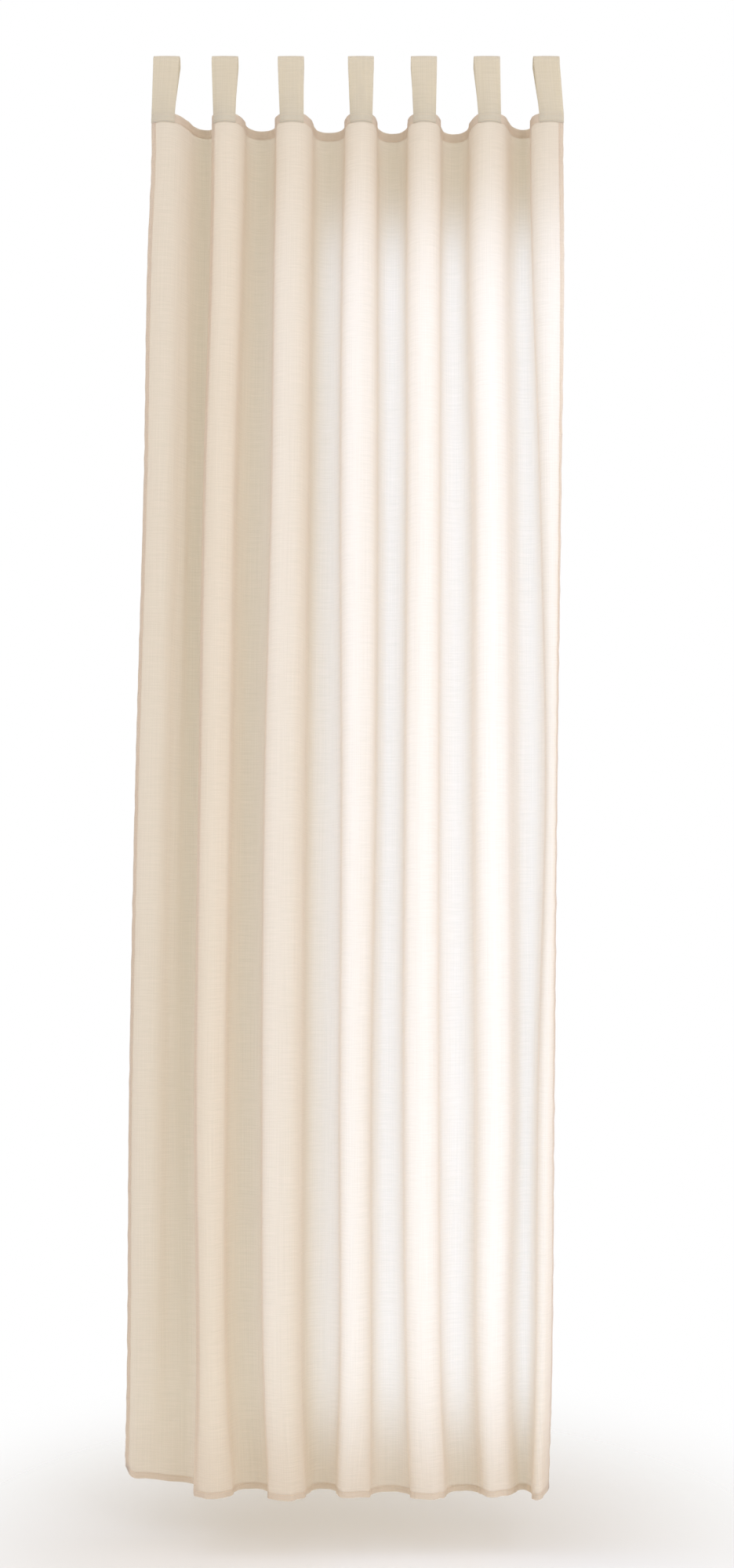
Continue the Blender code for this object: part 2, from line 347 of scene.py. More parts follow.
# %% Find points on the cloth
CORNER_LIFT = 0.018  # the bottom left corner curls up
CORNER_WIDTH = 0.026
CORNER_HEIGHT = 0.080
DIRECTION_REACH = 2 * MM  # the cloth's direction is measured over this far to each side


def sag(across, down):
    gap, past_tab = np.divmod(across - TAB_WIDTH, TAB_SPACING)
    gap = np.clip(gap, 0, len(GAPS) - 1).astype(int)
    free = TAB_SPACING - TAB_WIDTH
    between = (across > TAB_WIDTH) & (past_tab < free)
    top_drop = np.array([row[1] for row in GAPS])[gap]
    hem_drop = np.array([row[2] for row in GAPS])[gap]
    drop = top_drop + (hem_drop - top_drop) * np.clip(down, 0, PANEL_LENGTH) / PANEL_LENGTH
    return np.where(between, drop * MM * np.sin(math.pi * np.clip(past_tab / free, 0, 1)), 0)


def corner_lift(across, down):
    near_edge = np.maximum(0, 1 - across / CORNER_WIDTH)
    near_hem = np.maximum(0, 1 - (PANEL_LENGTH - down) / CORNER_HEIGHT)
    return CORNER_LIFT * near_edge**2 * near_hem**2


def cloth_at(across, row_down, down=None):
    """Points at places across, where down, if given, moves each of them a little up or down."""
    down = row_down if down is None else down
    marks, points = profile(row_down - PANEL_TOP)
    x = np.interp(across, marks, points[:, 0])
    y = np.interp(across, marks, points[:, 1])
    ahead = np.stack(
        [
            np.interp(across + DIRECTION_REACH, marks, points[:, k])
            - np.interp(across - DIRECTION_REACH, marks, points[:, k])
            for k in range(2)
        ],
        axis=1,
    )
    ahead /= np.linalg.norm(ahead, axis=1)[:, None]
    to_room = np.column_stack([ahead[:, 1], -ahead[:, 0], np.zeros(len(ahead))])
    z = PANEL_TOP - down - sag(across, down) + corner_lift(across, down)
    points = np.column_stack([x, y, z]) + relief(across, down)[:, None] * to_room
    return points, to_room


points, _ = cloth_at(np.array(TAB_CENTRES), 0.0)
print("under the loops, the top edge is at z =", np.round(points[:, 2], 3))

# %% [markdown]
# ## Turned hems
#
# Each edge of the sheet is turned in twice, so that the raw edge is hidden: a narrow flap first,
# then the hem itself, which lies behind the cloth. Light has to pass three layers there, and a
# hem shows as a denser band. Painting a darker band would look flat, and it would be wrong from
# behind. Here the mesh runs on past the edge and really turns: each turn is half a circle, and
# where two hems cross in a corner, the circle is wider, so that the layers stay apart.

# %% Turn the cloth over at an edge
LAYER = 0.35 * MM  # from one layer of cloth to the next in a hem
CLOTH = 0.25 * MM  # real voile is about 0.2 mm thick
TOP_HEM = 15 * MM
SIDE_HEM = 9 * MM
BOTTOM_HEM = 11 * MM
RAW_EDGE_BACK = 1 * MM  # the raw edge ends this far short of the hem's fold
FIRST_TURN = math.pi * LAYER / 2
SECOND_TURN = math.pi * LAYER


def turned(place, behind, start, arc, radius):
    """Cloth past the start goes round half a circle and comes back behind itself."""
    past = place - start
    angle = np.clip(past / arc, 0, 1) * math.pi
    inner = radius - behind
    place_now = start + inner * np.sin(angle) - np.maximum(past - arc, 0)
    behind_now = radius - inner * np.cos(angle)
    return np.where(past > 0, place_now, place), np.where(past > 0, behind_now, behind)


def hemmed(place, behind, edge, hem, stack):
    """Both turns of a hem whose fold lies at the edge, over a stack of other layers."""
    start = edge - LAYER
    raw_fold = start + SECOND_TURN + hem
    place, behind = turned(place, behind, raw_fold, FIRST_TURN, LAYER / 2 + stack)
    return turned(place, behind, start, SECOND_TURN, LAYER + 1.5 * stack)


def hem_marks(edge, hem):
    """The mesh lines of a hem, outwards from its fold."""
    start = edge - LAYER
    second = start + SECOND_TURN
    first = second + hem + FIRST_TURN
    return np.concatenate(
        [
            np.linspace(start, second, 5),
            np.linspace(second, second + hem, 4)[1:],
            np.linspace(second + hem, first, 4)[1:],
            np.linspace(first, first + hem - RAW_EDGE_BACK, 3)[1:],
        ]
    )


print("a hem has", len(hem_marks(0, TOP_HEM)), "mesh lines and 3 layers")

# %% [markdown]
# ## The sheet
#
# The mesh is a grid that follows the threads, so the map of the flat cloth comes for free: its u
# is the place across and its v the place down, in metres. Every pattern in the finish is drawn on
# that map and turns with the folds. The grid is finer near the hems, where the puckers are.

# %% Lay out the grid
COLUMN_STEP = 5.8 * MM
# Bands of rows: where each starts and ends, in m below the top edge, and the step between rows.
ROW_BANDS = (
    (0.0, 0.020, 0.005),
    (0.020, 0.120, 0.010),
    (0.120, 2.205, 0.0205),
    (2.205, 2.325, 0.010),
    (2.325, PANEL_LENGTH, 0.005),
)


def inner_marks(length, bands):
    marks = [LAYER]
    for start, end, step in bands:
        marks += list(np.linspace(start, end, max(2, round((end - start) / step) + 1))[1:])
    marks[-1] = length - LAYER
    return np.array(marks[1:-1])


columns = np.concatenate(
    [
        -hem_marks(0, SIDE_HEM)[::-1],
        inner_marks(CLOTH_WIDTH, ((0.0, CLOTH_WIDTH, COLUMN_STEP),)),
        hem_marks(CLOTH_WIDTH, SIDE_HEM),
    ]
)
rows = np.concatenate(
    [
        -hem_marks(0, TOP_HEM)[::-1],
        inner_marks(PANEL_LENGTH, ROW_BANDS),
        hem_marks(PANEL_LENGTH, BOTTOM_HEM),
    ]
)
print(len(columns), "columns by", len(rows), "rows")


# %% Place every point of the grid
STACK_REACH = 5 * MM  # the side hem's layers push others apart this far past the hem
STACK_FADE = 4 * MM


def smooth(t):
    t = np.clip(t, 0, 1)
    return t * t * (3 - 2 * t)


def side_stack(across):
    """The thickness of the side hem's layers behind the cloth."""
    from_edge = np.minimum(across, CLOTH_WIDTH - across)
    return 2 * LAYER * smooth((SIDE_HEM + STACK_REACH - from_edge) / STACK_FADE)


def folded_columns():
    place, behind = hemmed(columns, np.zeros(len(columns)), CLOTH_WIDTH, SIDE_HEM, 0)
    place, behind = hemmed(-place, behind, 0, SIDE_HEM, 0)
    return -place, behind


def panel_points():
    """All the points of the sheet, with the hem nearer to each row turned over."""
    across, behind = folded_columns()
    stack = side_stack(across)
    grid = []
    for row in rows:
        upper = row < PANEL_LENGTH / 2
        hem, edge, way = (TOP_HEM, 0, -1) if upper else (BOTTOM_HEM, PANEL_LENGTH, 1)
        down, depth = hemmed(way * row, behind, way * edge, hem, stack)
        middle, _ = hemmed(way * row, 0, way * edge, hem, 0)
        points, to_room = cloth_at(across, way * float(middle), way * down)
        grid.append(points - depth[:, None] * to_room)
    return np.array(grid)


grid = panel_points()
print("the sheet spans, in mm:", np.round(np.ptp(grid.reshape(-1, 3), axis=0) / MM))

# %% [markdown]
# ## From a grid to cloth
#
# The grid becomes faces with bmesh, and Solidify gives them the cloth's thickness, half to each
# side, so that the sheet is a closed shell like the real thing and not an endlessly thin film.


# %% Make cloth from a grid
def cloth_object(name, grid, uv, ring=False):
    """A sheet from rows of points; with ring, the last column is joined to the first."""
    mesh = bpy.data.meshes.new(name)
    bm = bmesh.new()
    layer = bm.loops.layers.uv.new("cloth")
    verts = [[bm.verts.new(p) for p in row] for row in grid]
    count = len(grid[0])
    for r in range(len(grid) - 1):
        for c in range(count if ring else count - 1):
            corners = ((r, c), (r + 1, c), (r + 1, c + 1), (r, c + 1))
            face = bm.faces.new([verts[i][j % count] for i, j in corners])
            for loop, (i, j) in zip(face.loops, corners):
                loop[layer].uv = uv(i, j)
    bm.to_mesh(mesh)
    bm.free()
    mesh.shade_smooth()
    obj = bpy.data.objects.new(name, mesh)
    bpy.context.scene.collection.objects.link(obj)
    solidify = obj.modifiers.new("thickness", "SOLIDIFY")
    solidify.thickness = CLOTH
    solidify.offset = 0
    return obj


panel = cloth_object("voile_panel", grid, lambda i, j: (columns[j], -rows[i]))
print("the sheet has", 4 * len(panel.data.polygons), "triangles when it is thick")

# %% [markdown]
# ## The loops
#
# A loop is a strip of the same voile, folded double along its length, taken over the rod and sewn
# to the front and the back of the top hem. A flat ribbon would do from far off, but the doubled
# strip has soft round sides and its two layers stand a little apart, which catches the light. So
# each one is a flat tube: a ring of points is moved along the strip's path.

# %% The path of a loop's strip
STRIP_STEPS = 12
LEG_ROWS = 12
ROD_ROWS = 14
SEWN_ROWS = 4
STRIP_HALF = LAYER / 2  # from the strip's middle to the middle of each of its layers
CLEAR = 0.55 * MM  # from a layer of the panel to the strip's middle
STRIP_ON_ROD = ROD_RADIUS + 0.75 * MM
BACK_CREASES = 0.6  # the back leg's creases are this share of the front leg's
strip_across = np.linspace(-TAB_WIDTH / 2, TAB_WIDTH / 2, STRIP_STEPS + 1)

# Creases on a loop's front: which loop, where in mm from its middle, at the upper and the lower
# end, half width and height in mm, and the part of the leg it takes, from the rod down.
LOOP_CREASES = (
    ("pinch_4", 4, 2, 9, 4.0, 1.6, 0.35, 1.0),
    ("dent_4", 4, -8, -3, 5.0, -1.2, 0.20, 1.0),
    ("pinch_5", 5, -10, 6, 4.0, 1.3, 0.30, 1.0),
    ("dent_5", 5, -2, 13, 4.5, -0.9, 0.25, 0.95),
    ("pinch_7", 7, -14, -8, 5.0, 1.2, 0.40, 1.0),
    ("dent_7", 7, 6, 2, 6.0, -0.8, 0.20, 0.9),
    ("soft_1", 1, 10, 14, 7.0, -0.9, 0.10, 0.9),
    ("soft_2", 2, 8, 12, 6.0, 0.8, 0.20, 0.95),
    ("soft_3", 3, -6, 2, 7.0, -0.7, 0.20, 0.9),
    ("soft_6", 6, 2, -5, 7.0, 0.7, 0.15, 0.9),
)


def rod_row(number, angle):
    """The strip where it lies on the rod, at an angle round it from its top towards the wall."""
    y, z = STRIP_ON_ROD * math.sin(angle), STRIP_ON_ROD * math.cos(angle)
    x = TABS_ON_ROD[number - 1] * MM + strip_across
    return np.column_stack([x, np.full(len(x), y), np.full(len(x), z)])


def leg_creases(number, down_leg):
    height = np.zeros(len(strip_across))
    for _, tab, upper, lower, width, rise, start, end in LOOP_CREASES:
        if tab == number and start < down_leg < end:
            share = (down_leg - start) / (end - start)
            middle = (upper + (lower - upper) * share) * MM
            bump = np.exp(-(((strip_across - middle) / (width * MM)) ** 2))
            height += rise * MM * math.sin(math.pi * share) * bump
    return height


def sewn_row(number, side, down):
    """The strip where it is sewn to the front (1) or the back (-1) of the top hem."""
    across = TAB_CENTRES[number - 1] + strip_across
    points, to_room = cloth_at(across, down)
    hem_depth = 2 * LAYER + 3 * side_stack(across)
    offset = CLEAR if side > 0 else -hem_depth - CLEAR
    return points + np.multiply.outer(np.broadcast_to(offset, len(across)), np.ones(3)) * to_room


def strip_path(number):
    legs, angles = [], []
    for side in (1, -1):
        sewn = [sewn_row(number, side, d) for d in np.linspace(TAB_OVERLAP, 0, SEWN_ROWS)]
        top = sewn[-1]
        _, y, z = top[STRIP_STEPS // 2]
        angle = math.atan2(abs(y), z) - math.acos(STRIP_ON_ROD / math.hypot(y, z))
        on_rod = rod_row(number, -side * angle)
        leg = []
        for share in np.linspace(0, 1, LEG_ROWS + 1)[1:]:
            row = top + share * (on_rod - top)
            crease = leg_creases(number, 1 - share) * (1 if side > 0 else BACK_CREASES)
            row[:, 1] -= side * crease
            leg.append(row)
        legs.append(sewn + leg)
        angles.append(-side * angle)
    over = [rod_row(number, a) for a in np.linspace(*angles, ROD_ROWS + 1)[1:-1]]
    return np.array(legs[0] + over + legs[1][::-1])


path = strip_path(1)
strip_length = length_of(path[:, STRIP_STEPS // 2])
print("a loop takes a strip of", round(strip_length / MM), "mm")


# %% Make the strip a flat tube
PUFF = 0.45 * MM  # each layer bulges out this much, halfway along the strip
MAP_STEP = 0.2  # m from one loop's place on the flat map to the next


def out_of_loop(path):
    """The direction out of the loop at each point of the strip."""
    along = np.gradient(path, axis=0)
    across = np.gradient(path, axis=1)
    out = np.cross(along, across)
    return out / np.linalg.norm(out, axis=2)[:, :, None]


def loop_object(number):
    """The strip as a ring of points round its path, flat at its sewn ends."""
    path = strip_path(number)
    out = out_of_loop(path)
    steps = np.linspace(0, 1, len(path))
    puff = PUFF * np.sin(math.pi * steps) ** 2
    belly = 1 - (2 * strip_across / TAB_WIDTH) ** 2
    half = STRIP_HALF + puff[:, None] * belly[None, :]
    outer = path + half[:, :, None] * out
    inner = path - half[:, :, None] * out
    sideways = np.gradient(path, axis=1)
    sideways /= np.linalg.norm(sideways, axis=2)[:, :, None]
    right = path[:, -1:] + STRIP_HALF * sideways[:, -1:]
    left = path[:, :1] - STRIP_HALF * sideways[:, :1]
    ring = np.concatenate([outer, right, inner[:, ::-1], left], axis=1)
    travelled = np.concatenate(
        [[0], np.cumsum(np.linalg.norm(np.diff(path[:, STRIP_STEPS // 2], axis=0), axis=1))]
    )
    step = TAB_WIDTH / STRIP_STEPS

    def uv(i, j):
        return j * step + MAP_STEP * number, travelled[i]

    obj = cloth_object(f"tab_loop_{number}", ring, uv, ring=True)
    obj["cut_length"] = float(travelled[-1])
    return obj


loops = [loop_object(number) for number in range(1, TAB_COUNT + 1)]
print(len(loops), "loops, cut", [round(loop["cut_length"] / MM) for loop in loops], "mm long")

# %% [markdown]
# ## Where the stitches run
#
# The hems are sewn down 1.5 mm from their inner fold, and the loops with two rows across each
# end and one row along a side. The lines are only edges here, a little above the cloth's face.
# On a lockstitch the same thread shows on both faces, so each line is made in front and behind.

# %% Lines on the panel
THREAD = 0.45 * MM  # about twice as thick as real thread, so that it shows
PROUD = CLOTH / 2 + 0.05 * MM  # a line's place off the middle of its layer
FROM_FOLD = 1.5 * MM
HEM_BACK = 2 * LAYER + PROUD
ACROSS_STEP = 2 * MM  # from point to point of a line across the cloth
DOWN_STEP = 8 * MM  # and down it, where the cloth is nearly straight


def across_line(down, offset, start=SIDE_HEM, end=CLOTH_WIDTH - SIDE_HEM):
    across = np.arange(start, end, ACROSS_STEP)
    points, to_room = cloth_at(across, down)
    return points + offset * to_room


def down_lines(across, offset):
    """One line down each side hem, as a list of points for each place across."""
    points = []
    for down in np.arange(TOP_HEM, PANEL_LENGTH - BOTTOM_HEM, DOWN_STEP):
        here, to_room = cloth_at(across, down)
        points.append(here + offset * to_room)
    return list(np.array(points).transpose(1, 0, 2))


FROM_SIDE = 2 * MM  # the top hem's line starts and ends this far inside the side edges
hem_lines = []
side_seams = np.array([SIDE_HEM - FROM_FOLD, CLOTH_WIDTH - SIDE_HEM + FROM_FOLD])
for offset in (PROUD, -HEM_BACK):
    top_line = across_line(TOP_HEM - FROM_FOLD, offset, FROM_SIDE, CLOTH_WIDTH - FROM_SIDE)
    hem_lines.append(top_line)
    hem_lines.append(across_line(PANEL_LENGTH - BOTTOM_HEM + FROM_FOLD, offset))
    hem_lines += down_lines(side_seams, offset)
print("sewn hems:", round(sum(length_of(line) for line in hem_lines) / 2, 2), "m")

# %% Lines on the loops
ACROSS_ENDS = (3 * MM, 13 * MM)  # rows of stitches, up from a loop's sewn end
EDGE_ROW = 1  # the strip's mesh line beside its sewn side
SEWN_SIDE = (-1, 1, 1, 1, 1, 1, -1)  # each loop's sewn side: -1 left, 1 right
SIDE_LIFT = STRIP_HALF + PROUD + 0.14 * MM  # clears the strip where it stands a little open

loop_lines = []
for number in range(1, TAB_COUNT + 1):
    path = strip_path(number)
    out = out_of_loop(path)
    for up in ACROSS_ENDS:
        for side in (1, -1):
            row = sewn_row(number, side, TAB_OVERLAP - up)
            inset = row[1:-1]
            _, to_room = cloth_at(TAB_CENTRES[number - 1] + strip_across[1:-1], TAB_OVERLAP - up)
            loop_lines.append(inset + side * (STRIP_HALF + PROUD) * to_room)
    column = EDGE_ROW if SEWN_SIDE[number - 1] < 0 else STRIP_STEPS - EDGE_ROW
    loop_lines.append(path[:, column] + SIDE_LIFT * out[:, column])
print("sewn loops:", round(sum(length_of(line) for line in loop_lines), 2), "m")

# %% [markdown]
# ## Stitches with Geometry Nodes
#
# More than five thousand stitches are all alike, so the modifier repeats one: it walks along each
# line, puts a point every few millimetres, and sets a small spindle there along the line. The
# spindle has few faces, because there are so many. A random turn, with a fixed seed, keeps the
# row from looking ruled. The result is made a plain mesh at the end.


# %% Start the tree that sews
def add_node(tree, kind, inputs=None, **settings):
    """Adds a node, sets what is given, and links each input that is a socket."""
    node = tree.nodes.new(kind)
    for name, value in settings.items():
        setattr(node, name, value)
    for name, value in (inputs or {}).items():
        socket = node.inputs[name]
        if isinstance(value, bpy.types.NodeSocket):
            tree.links.new(value, socket)
        else:
            socket.default_value = value
    return node


stitch_tree = bpy.data.node_groups.new("row of stitches", "GeometryNodeTree")
stitch_inputs = {}
for name, kind, direction in (
    ("Lines", "NodeSocketGeometry", "INPUT"),
    ("Stitch Spacing", "NodeSocketFloat", "INPUT"),
    ("Stitch Length", "NodeSocketFloat", "INPUT"),
    ("Thread Thickness", "NodeSocketFloat", "INPUT"),
    ("Uneven Turn", "NodeSocketFloat", "INPUT"),
    ("Seed", "NodeSocketInt", "INPUT"),
    ("Thread", "NodeSocketMaterial", "INPUT"),
    ("Stitches", "NodeSocketGeometry", "OUTPUT"),
):
    socket = stitch_tree.interface.new_socket(name=name, in_out=direction, socket_type=kind)
    stitch_inputs[name] = socket.identifier
given = add_node(stitch_tree, "NodeGroupInput").outputs
print("the tree's sockets:", ", ".join(stitch_inputs))

# %% Find where each stitch goes, and how it is turned
curve = add_node(stitch_tree, "GeometryNodeMeshToCurve", {"Mesh": given["Lines"]})
places = add_node(
    stitch_tree,
    "GeometryNodeCurveToPoints",
    {"Curve": curve.outputs["Curve"], "Length": given["Stitch Spacing"]},
    mode="LENGTH",
)
least_turn = add_node(
    stitch_tree, "ShaderNodeMath", {0: given["Uneven Turn"], 1: -1.0}, operation="MULTIPLY"
)
random_turn = add_node(
    stitch_tree,
    "FunctionNodeRandomValue",
    {2: least_turn.outputs[0], 3: given["Uneven Turn"], "Seed": given["Seed"]},
    data_type="FLOAT",
)
turn_vector = add_node(stitch_tree, "ShaderNodeCombineXYZ", {"X": random_turn.outputs[1]})
rotation = add_node(
    stitch_tree,
    "FunctionNodeRotateRotation",
    {"Rotation": places.outputs["Rotation"], "Rotate By": turn_vector.outputs[0]},
    rotation_space="LOCAL",
)
print("each stitch turns about its own", rotation.rotation_space.lower(), "axis")

# %% Set a spindle at each place
spindle = add_node(
    stitch_tree, "GeometryNodeMeshUVSphere", {"Segments": 6, "Rings": 4, "Radius": 0.5}
)
thickness = given["Thread Thickness"]
size = add_node(
    stitch_tree,
    "ShaderNodeCombineXYZ",
    {"X": thickness, "Y": thickness, "Z": given["Stitch Length"]},
)
stitches = add_node(
    stitch_tree,
    "GeometryNodeInstanceOnPoints",
    {
        "Points": places.outputs["Points"],
        "Instance": spindle.outputs["Mesh"],
        "Rotation": rotation.outputs[0],
        "Scale": size.outputs[0],
    },
)
real = add_node(stitch_tree, "GeometryNodeRealizeInstances", {"Geometry": stitches.outputs[0]})
smoothed = add_node(stitch_tree, "GeometryNodeSetShadeSmooth", {"Geometry": real.outputs[0]})
finished = add_node(
    stitch_tree,
    "GeometryNodeSetMaterial",
    {"Geometry": smoothed.outputs[0], "Material": given["Thread"]},
)
add_node(stitch_tree, "NodeGroupOutput", {"Stitches": finished.outputs[0]})
print("the tree has", len(stitch_tree.nodes), "nodes")

# %% Sew along the lines
HEM_SPACING = 3.2 * MM
LOOP_SPACING = 3.0 * MM
STITCH_SHARE = 0.86  # a stitch's length as a share of the spacing; the rest is its hole
UNEVEN_TURN = 0.08  # radians, to either side
thread_finish = bpy.data.materials.new("spun_polyester_thread")


def sew(name, lines, spacing, seed):
    mesh = bpy.data.meshes.new(name)
    points = np.vstack(lines)
    starts = np.cumsum([0] + [len(line) for line in lines[:-1]])
    edges = [
        (start + i, start + i + 1)
        for start, line in zip(starts, lines)
        for i in range(len(line) - 1)
    ]
    mesh.from_pydata(points.tolist(), edges, [])
    obj = bpy.data.objects.new(name + "_lines", mesh)
    bpy.context.scene.collection.objects.link(obj)
    modifier = obj.modifiers.new("stitches", "NODES")
    modifier.node_group = stitch_tree
    for socket, value in (
        ("Stitch Spacing", spacing),
        ("Stitch Length", STITCH_SHARE * spacing),
        ("Thread Thickness", THREAD),
        ("Uneven Turn", UNEVEN_TURN),
        ("Seed", seed),
        ("Thread", thread_finish),
    ):
        modifier[stitch_inputs[socket]] = value
    plain = bpy.data.meshes.new_from_object(
        obj.evaluated_get(bpy.context.evaluated_depsgraph_get())
    )
    bpy.data.objects.remove(obj)
    sewn = bpy.data.objects.new(name, plain)
    bpy.context.scene.collection.objects.link(sewn)
    return sewn


hem_stitches = sew("hem_stitches", hem_lines, HEM_SPACING, 1)
loop_stitches = sew("loop_stitches", loop_lines, LOOP_SPACING, 2)
for sewn in (hem_stitches, loop_stitches):
    sewn.data.calc_loop_triangles()
    print(sewn.name, "has", len(sewn.data.loop_triangles), "triangles")

# %% [markdown]
# ## Finish: sheer voile
#
# Voile is a plain weave of fine, tightly twisted yarn with open gaps between the threads. About a
# quarter of the light goes straight through the gaps, and the yarn passes some of the rest on as
# a soft glow. So the shader has three parts: see-through, glow, and a matt surface with a faint
# sheen. The sheet has two faces here, so each face lets the square root of that quarter through.
# Seen at a slant, the threads close the gaps, so the flanks of the folds look denser.
#
# The yarn is a very pale, slightly pink sand, and what comes through the gaps is a little more
# yellow. A back fold has less light of its own, so it shows more of what comes through it, and
# looks deeper in tone than the front folds.
#
# The thread spacing of about 0.4 mm is finer than a pixel of the render, so the weave is drawn at
# three times that, and the thicker yarns, the slubs, at their real length.


# %% The voile's colours
def linear(hex_code):
    """An sRGB hex colour as linear values with alpha."""
    values = [int(hex_code[i : i + 2], 16) / 255 for i in (1, 3, 5)]
    return [v / 12.92 if v <= 0.04045 else ((v + 0.055) / 1.055) ** 2.4 for v in values] + [1.0]


YARN = ("#F9F0E7", "#F4EADF")  # its palest and its deepest tone
DOUBLED_YARN = ("#F4F2E5", "#EFEBD9")  # the folded loops are a little cooler in tone
GLOW = "#F8EFE6"
GAP_TINT = (0.965, 0.945, 0.83, 1.0)  # loose fibres across the gaps warm what comes through
HEM_TINT = (0.985, 0.965, 0.93, 1.0)  # the same for each of a hem's many faces
print("the palest yarn, as linear values:", [round(v, 2) for v in linear(YARN[0])[:3]])

# %% Draw the weave on the flat map
WEAVE = 1.2 * MM
# How often each pattern repeats in a metre, across and down the cloth.
WARP_SLUBS = (900.0, 6.0, 1.0)  # 1.1 mm wide and 170 mm long
WEFT_SLUBS = (22.0, 700.0, 1.0)  # 45 mm wide and 1.4 mm high
CLOUDS = (9.0, 5.0, 1.0)  # soft patches, 110 mm wide and 200 mm high


def woven_pattern(tree):
    """Sockets with the weave's waves, the slubs and the clouds."""
    flat = add_node(tree, "ShaderNodeUVMap", uv_map="cloth").outputs["UV"]
    place = add_node(tree, "ShaderNodeSeparateXYZ", {"Vector": flat})

    def waves(axis):
        turns = add_node(
            tree,
            "ShaderNodeMath",
            {0: place.outputs[axis], 1: 2 * math.pi / WEAVE},
            operation="MULTIPLY",
        )
        return add_node(tree, "ShaderNodeMath", {0: turns.outputs[0]}, operation="SINE").outputs[0]

    def noise(repeats, seed):
        mapped = add_node(
            tree,
            "ShaderNodeMapping",
            {"Vector": flat, "Scale": repeats, "Location": (seed, seed, 0)},
        )
        return add_node(
            tree,
            "ShaderNodeTexNoise",
            {"Vector": mapped.outputs[0], "Scale": 1.0, "Detail": 2.0, "Roughness": 0.6},
        ).outputs["Fac"]

    weave = add_node(tree, "ShaderNodeMath", {0: waves("X"), 1: waves("Y")}, operation="MULTIPLY")
    slubs = add_node(
        tree,
        "ShaderNodeMath",
        {0: noise(WARP_SLUBS, 3.1), 1: noise(WEFT_SLUBS, 7.7)},
        operation="ADD",
    )
    return weave.outputs[0], slubs.outputs[0], noise(CLOUDS, 1.9)


print("the weave is drawn with", round(1 / WEAVE), "waves to the metre")

# %% How much the cloth holds back
SLUB_RANGE = (0.6, 1.4)  # both slub patterns together mostly lie between these
SLUB_EFFECT = 0.05  # a thick place closes the gaps this much, and a thin place opens them
WEAVE_EFFECT = 0.03
LEAST_SQUARE_ON = 0.2  # past this slant, the gaps close no further
SLANT_POWER = 0.3  # the threads are round, so a slant closes the gaps slowly


def held_back(tree, weave, slubs, open_share):
    """A socket with the share of the light that doesn't go straight through a face."""
    openness = add_node(
        tree,
        "ShaderNodeMapRange",
        {
            "Value": slubs,
            "From Min": SLUB_RANGE[0],
            "From Max": SLUB_RANGE[1],
            "To Min": open_share + SLUB_EFFECT,
            "To Max": open_share - SLUB_EFFECT,
        },
    )
    woven = add_node(
        tree,
        "ShaderNodeMath",
        {0: weave, 1: WEAVE_EFFECT, 2: openness.outputs[0]},
        operation="MULTIPLY_ADD",
    )
    slant = add_node(tree, "ShaderNodeLayerWeight", {"Blend": 0.5})
    square_on = add_node(
        tree, "ShaderNodeMath", {0: 1.0, 1: slant.outputs["Facing"]}, operation="SUBTRACT"
    )
    square_on = add_node(
        tree, "ShaderNodeMath", {0: square_on.outputs[0], 1: LEAST_SQUARE_ON}, operation="MAXIMUM"
    )
    depth = add_node(
        tree, "ShaderNodeMath", {0: square_on.outputs[0], 1: -SLANT_POWER}, operation="POWER"
    )
    through = add_node(
        tree, "ShaderNodeMath", {0: woven.outputs[0], 1: depth.outputs[0]}, operation="POWER"
    )
    solid = add_node(
        tree, "ShaderNodeMath", {0: 1.0, 1: through.outputs[0]}, operation="SUBTRACT"
    )
    return solid.outputs[0]


most = LEAST_SQUARE_ON**-SLANT_POWER
print("at the widest slant, light passes", round(most, 2), "layers' worth of cloth")

# %% Put the voile together
SLUB_RELIEF = 0.6
WEAVE_RELIEF = 0.4
RELIEF = 0.15 * MM


def voile(name, yarn, open_share, glow_share, gap_tint=GAP_TINT):
    """open_share is what one face of the cloth lets straight through, seen square on."""
    material = bpy.data.materials.new(name)
    material.use_nodes = True
    tree = material.node_tree
    tree.nodes.clear()
    weave, slubs, clouds = woven_pattern(tree)
    solid = held_back(tree, weave, slubs, open_share)

    slub_height = add_node(
        tree, "ShaderNodeMath", {0: slubs, 1: SLUB_RELIEF}, operation="MULTIPLY"
    )
    height = add_node(
        tree,
        "ShaderNodeMath",
        {0: weave, 1: WEAVE_RELIEF, 2: slub_height.outputs[0]},
        operation="MULTIPLY_ADD",
    )
    bump = add_node(
        tree,
        "ShaderNodeBump",
        {"Height": height.outputs[0], "Strength": 0.25, "Distance": RELIEF},
    )
    tone = add_node(
        tree,
        "ShaderNodeMix",
        {"Factor": clouds, "A": linear(yarn[0]), "B": linear(yarn[1])},
        data_type="RGBA",
    )
    surface = add_node(
        tree,
        "ShaderNodeBsdfPrincipled",
        {
            "Base Color": tone.outputs["Result"],
            "Roughness": 0.88,
            "Specular IOR Level": 0.2,
            "Sheen Weight": 0.25,
            "Sheen Roughness": 0.4,
            "Sheen Tint": linear("#FBF3E6"),
            "Normal": bump.outputs[0],
        },
    )
    glow = add_node(
        tree, "ShaderNodeBsdfTranslucent", {"Color": linear(GLOW), "Normal": bump.outputs[0]}
    )
    cloth = add_node(
        tree,
        "ShaderNodeMixShader",
        {"Fac": glow_share, 1: surface.outputs[0], 2: glow.outputs[0]},
    )
    gaps = add_node(tree, "ShaderNodeBsdfTransparent", {"Color": gap_tint})
    sheer = add_node(
        tree, "ShaderNodeMixShader", {"Fac": solid, 1: gaps.outputs[0], 2: cloth.outputs[0]}
    )
    add_node(tree, "ShaderNodeOutputMaterial", {"Surface": sheer.outputs[0]})
    return material


